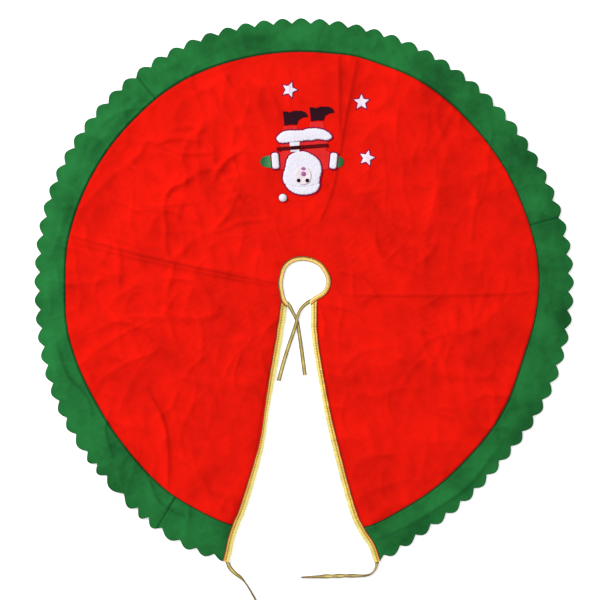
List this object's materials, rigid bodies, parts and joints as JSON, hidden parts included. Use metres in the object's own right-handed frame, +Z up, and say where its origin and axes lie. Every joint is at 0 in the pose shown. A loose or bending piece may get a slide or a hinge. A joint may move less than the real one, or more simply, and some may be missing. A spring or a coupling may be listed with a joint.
{
  "type": "tree skirt",
  "caption": "Flat round felt tree skirt with a scalloped hem band, a bound slit and neck hole, ties, and an appliqued figure with stars; its front quarters fold back over it.",
  "frame": {"origin": "on the floor, under the middle of the flat skirt's outline without its ties", "axes": "+Z up out of the flat cloth, +Y towards the back (the figure's boots), -Y towards the open end of the slit, +X towards the right flap"},
  "size_m": [0.8986, 1.0258, 0.0092],
  "materials": {
    "red_felt": "needle-punched non-woven felt, bright red, matt and slightly hairy",
    "green_felt": "needle-punched non-woven felt, mid green, matt and slightly hairy",
    "gold_lame": "thin woven metallic gold tape, shiny, with a fine rib",
    "gold_thread": "spun polyester sewing thread, soft sheen",
    "seam_thread": "dark spun polyester sewing thread, sunk in the seam",
    "white_plush": "short-pile white fleece, matt and fluffy",
    "white_felt": "white felt, matt",
    "black_felt": "black felt, matt",
    "mitten_felt": "leaf-green felt, matt",
    "face_felt": "pale pink felt, matt",
    "nose_felt": "plum-coloured felt, matt"
  },
  "bodies": {
    "skirt_back": {"felt_panel_back": "red_felt", "hem_band_top": "green_felt", "hem_band_left_back": "green_felt", "hem_band_right_back": "green_felt", "neck_binding_back": "gold_lame", "hem_thread_back": "seam_thread", "neck_thread_back": "gold_thread", "star_near_boots": "white_felt", "star_top_right": "white_felt", "star_right": "white_felt", "boot_left": "black_felt", "boot_right": "black_felt", "trouser_left": "red_felt", "trouser_right": "red_felt", "coat": "red_felt", "coat_trim": "white_plush", "placket": "white_plush", "belt": "black_felt", "cuff_left": "white_plush", "cuff_right": "white_plush", "mitten_left": "mitten_felt", "mitten_right": "mitten_felt", "beard": "white_plush", "face": "face_felt", "eye_left": "black_felt", "eye_right": "black_felt", "nose": "nose_felt", "mouth": "nose_felt", "hat": "red_felt", "hat_brim": "white_plush", "pompom": "white_plush"},
    "left_flap": {"felt_panel_left": "red_felt", "hem_band_left_front": "green_felt", "hem_band_end": "green_felt", "neck_binding_left": "gold_lame", "slit_binding_left": "gold_lame", "hem_thread_left": "seam_thread", "neck_thread_left": "gold_thread", "slit_thread_left": "gold_thread", "neck_tie_left": "gold_lame", "hem_tie_left": "gold_lame"},
    "right_flap": {"felt_panel_right": "red_felt", "hem_band_right_front": "green_felt", "neck_binding_right": "gold_lame", "slit_binding_right": "gold_lame", "hem_thread_right": "seam_thread", "neck_thread_right": "gold_thread", "slit_thread_right": "gold_thread", "neck_tie_right": "gold_lame", "hem_tie_right": "gold_lame"}
  },
  "joints": [
    {"name": "left_fold", "type": "hinge", "parent": "skirt_back", "child": "left_flap", "pos_m": [0, 0.0025, 0.0165], "axis": [-0.9816, 0.1908, 0], "range_deg": [0, 179.5]},
    {"name": "right_fold", "type": "hinge", "parent": "skirt_back", "child": "right_flap", "pos_m": [0, 0.0025, 0.012], "axis": [-0.9998, 0.0175, 0], "range_deg": [0, 179.5]}
  ]
}
